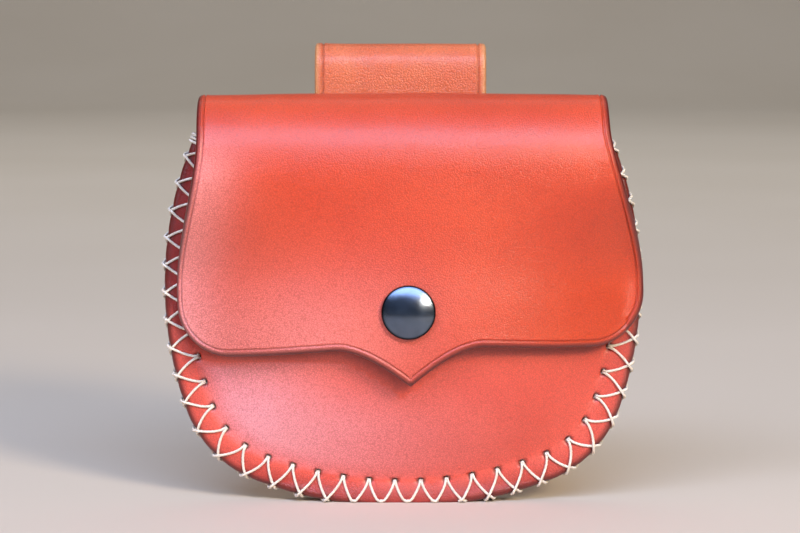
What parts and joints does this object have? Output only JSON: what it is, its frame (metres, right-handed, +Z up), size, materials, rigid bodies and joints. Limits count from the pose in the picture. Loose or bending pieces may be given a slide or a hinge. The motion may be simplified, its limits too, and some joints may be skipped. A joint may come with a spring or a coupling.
{
  "type": "belt purse",
  "caption": "Small leather belt purse with a bowl-shaped sewn front, a pointed flap closed by a press snap, and a wide belt loop behind.",
  "frame": {"origin": "on the surface that the purse stands on, under the middle of its box", "axes": "+Z up, -Y towards the front with the flap and snap, +X to the right of someone who faces the front"},
  "size_m": [0.1364, 0.0558, 0.1299],
  "materials": {
    "leather": "vegetable-tanned, dyed orange-red, fine grain, waxed, burnished edges",
    "loop_leather": "vegetable-tanned, dyed orange, open grain",
    "gunmetal": "steel plated to a dark gunmetal, polished"
  },
  "bodies": {
    "root": {"back_and_flap": "leather", "front_panel": "leather", "belt_loop": "loop_leather", "snap_cap": "gunmetal", "snap_socket": "gunmetal", "snap_stud": "gunmetal", "snap_post": "gunmetal"}
  },
  "joints": []
}
